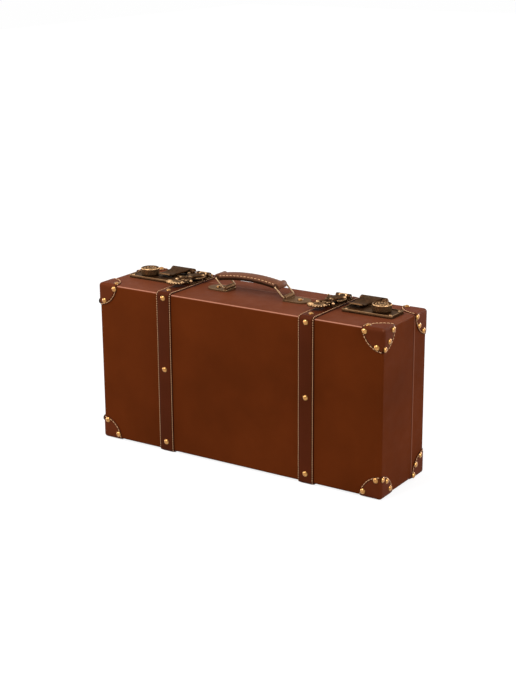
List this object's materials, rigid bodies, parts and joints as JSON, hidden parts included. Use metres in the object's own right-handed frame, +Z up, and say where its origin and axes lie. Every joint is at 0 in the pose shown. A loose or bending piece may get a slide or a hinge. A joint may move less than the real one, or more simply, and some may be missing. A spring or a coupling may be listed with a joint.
{
  "type": "hard suitcase",
  "caption": "Rectangular hard travel case of covered wood with a hinged lid, riveted straps and corner patches, metal locks and a leather handle on wire loops.",
  "frame": {"origin": "middle of the underside, on the surface that the case stands on", "axes": "+X along the length to the right, +Y from the deep shell's face towards the lid, +Z up towards the handle"},
  "size_m": [0.51, 0.1414, 0.2857],
  "materials": {
    "pine_board": "planed bare wood",
    "leatherette": "fine grained, satin",
    "strap_leather": "satin leather with pale stitching",
    "patch_leather": "satin leather with pale stitching",
    "handle_leather": "worn satin leather with pale stitching",
    "lining_cloth": "plain woven cotton",
    "brass_rivets": "polished, slightly tarnished",
    "antique_bronze": "darkened bronze with bright worn edges",
    "loop_wire": "worn bronze wire",
    "steel_pins": "plain steel"
  },
  "bodies": {
    "base": {"base_front_panel": "pine_board", "base_top_board": "pine_board", "base_bottom_board": "pine_board", "base_left_board": "pine_board", "base_right_board": "pine_board", "base_cover": "leatherette", "base_lining": "lining_cloth", "base_strap_left": "strap_leather", "base_strap_right": "strap_leather", "base_patch_top_left": "patch_leather", "base_patch_top_right": "patch_leather", "base_patch_bottom_left": "patch_leather", "base_patch_bottom_right": "patch_leather", "base_rivets": "brass_rivets", "base_hardware_screws": "antique_bronze", "lock_plate_left": "antique_bronze", "lock_plate_right": "antique_bronze", "buckle_catch_left": "antique_bronze", "buckle_catch_right": "antique_bronze", "handle_plate_left": "antique_bronze", "handle_plate_right": "antique_bronze", "handle_plate_rivets": "brass_rivets", "hinge_base_leaves": "antique_bronze", "hinge_pins": "steel_pins", "hinge_base_screws": "antique_bronze"},
    "lid": {"lid_back_panel": "pine_board", "lid_top_board": "pine_board", "lid_bottom_board": "pine_board", "lid_left_board": "pine_board", "lid_right_board": "pine_board", "lid_cover": "leatherette", "lid_lining": "lining_cloth", "lid_strap_left": "strap_leather", "lid_strap_right": "strap_leather", "lid_patch_top_left": "patch_leather", "lid_patch_top_right": "patch_leather", "lid_patch_bottom_left": "patch_leather", "lid_patch_bottom_right": "patch_leather", "lid_rivets": "brass_rivets", "lid_hardware_screws": "antique_bronze", "lock_hinge_left": "antique_bronze", "lock_hinge_right": "antique_bronze", "lock_pins": "steel_pins", "buckle_hinge_left": "antique_bronze", "buckle_hinge_right": "antique_bronze", "buckle_pins": "steel_pins", "hinge_lid_leaves": "antique_bronze", "hinge_lid_screws": "antique_bronze"},
    "lock_knob_left": {"lock_knob_left": "antique_bronze"},
    "lock_knob_right": {"lock_knob_right": "antique_bronze"},
    "lock_hasp_left": {"lock_hasp_left": "antique_bronze"},
    "lock_hasp_right": {"lock_hasp_right": "antique_bronze"},
    "buckle_hasp_left": {"buckle_hasp_left": "antique_bronze"},
    "buckle_hasp_right": {"buckle_hasp_right": "antique_bronze"},
    "handle_loop_left": {"handle_loop_left": "loop_wire"},
    "handle_loop_right": {"handle_loop_right": "loop_wire"},
    "handle": {"handle_grip": "handle_leather", "handle_core": "steel_pins"}
  },
  "joints": [
    {"name": "lid_open", "type": "hinge", "parent": "base", "child": "lid", "pos_m": [0, 0.0275, 0.0025], "axis": [-1, 0, 0], "range_deg": [0, 100]},
    {"name": "lock_hasp_left_flip", "type": "hinge", "parent": "lid", "child": "lock_hasp_left", "pos_m": [-0.1725, 0.05, 0.2613], "axis": [-1, 0, 0], "range_deg": [0, 150]},
    {"name": "lock_knob_left_turn", "type": "hinge", "parent": "base", "child": "lock_knob_left", "pos_m": [-0.208, 0.009, 0.2597], "axis": [0, 0, 1], "range_deg": [0, 90]},
    {"name": "buckle_hasp_left_flip", "type": "hinge", "parent": "lid", "child": "buckle_hasp_left", "pos_m": [-0.1265, 0.0405, 0.2632], "axis": [-1, 0, 0], "range_deg": [0, 130]},
    {"name": "lock_hasp_right_flip", "type": "hinge", "parent": "lid", "child": "lock_hasp_right", "pos_m": [0.1725, 0.05, 0.2613], "axis": [-1, 0, 0], "range_deg": [0, 150]},
    {"name": "lock_knob_right_turn", "type": "hinge", "parent": "base", "child": "lock_knob_right", "pos_m": [0.208, 0.009, 0.2597], "axis": [0, 0, 1], "range_deg": [0, 90]},
    {"name": "buckle_hasp_right_flip", "type": "hinge", "parent": "lid", "child": "buckle_hasp_right", "pos_m": [0.1265, 0.0405, 0.2632], "axis": [-1, 0, 0], "range_deg": [0, 130]},
    {"name": "handle_swing", "type": "hinge", "parent": "base", "child": "handle_loop_left", "pos_m": [-0.05325, 0.0045, 0.2606], "axis": [0, 1, 0], "range_deg": [0, 92]},
    {"name": "handle_pivot", "type": "hinge", "parent": "handle_loop_left", "child": "handle", "pos_m": [-0.06836, 0.0045, 0.27519], "axis": [0, 1, 0], "range_deg": [-92, 0]},
    {"name": "handle_loop_right_swing", "type": "hinge", "parent": "base", "child": "handle_loop_right", "pos_m": [0.05325, 0.0045, 0.2606], "axis": [0, 1, 0], "range_deg": [0, 92]}
  ],
  "couplings": [
    {"joint": "handle_pivot", "follows": "handle_swing", "ratio": -1},
    {"joint": "handle_loop_right_swing", "follows": "handle_swing", "ratio": 1}
  ]
}
